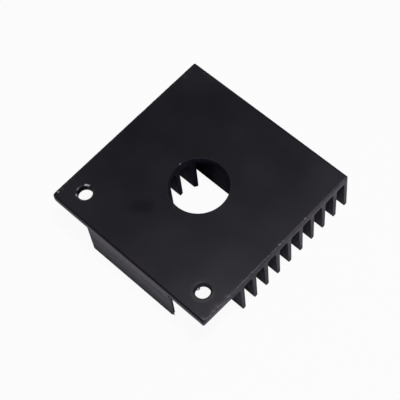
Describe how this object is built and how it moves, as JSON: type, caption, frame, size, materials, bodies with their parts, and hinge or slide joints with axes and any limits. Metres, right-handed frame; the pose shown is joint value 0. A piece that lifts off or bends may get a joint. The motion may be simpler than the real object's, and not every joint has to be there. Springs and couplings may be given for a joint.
{
  "type": "heat sink",
  "caption": "Square finned heat sink plate with a round centre bore and screw holes in two relieved corners, for the flat face of a small motor.",
  "frame": {"origin": "middle of the square that the fin tips stand on, at the level of the tips", "axes": "+Z from the fin tips up to the flat face, +X along the fins, +Y across them and away from the screw holes"},
  "size_m": [0.04, 0.04, 0.011],
  "materials": {
    "black_anodised": "matt black anodising over an extruded and sawn surface, with bright metal on the broken rims"
  },
  "bodies": {
    "root": {"heat_sink": "black_anodised"}
  },
  "joints": []
}
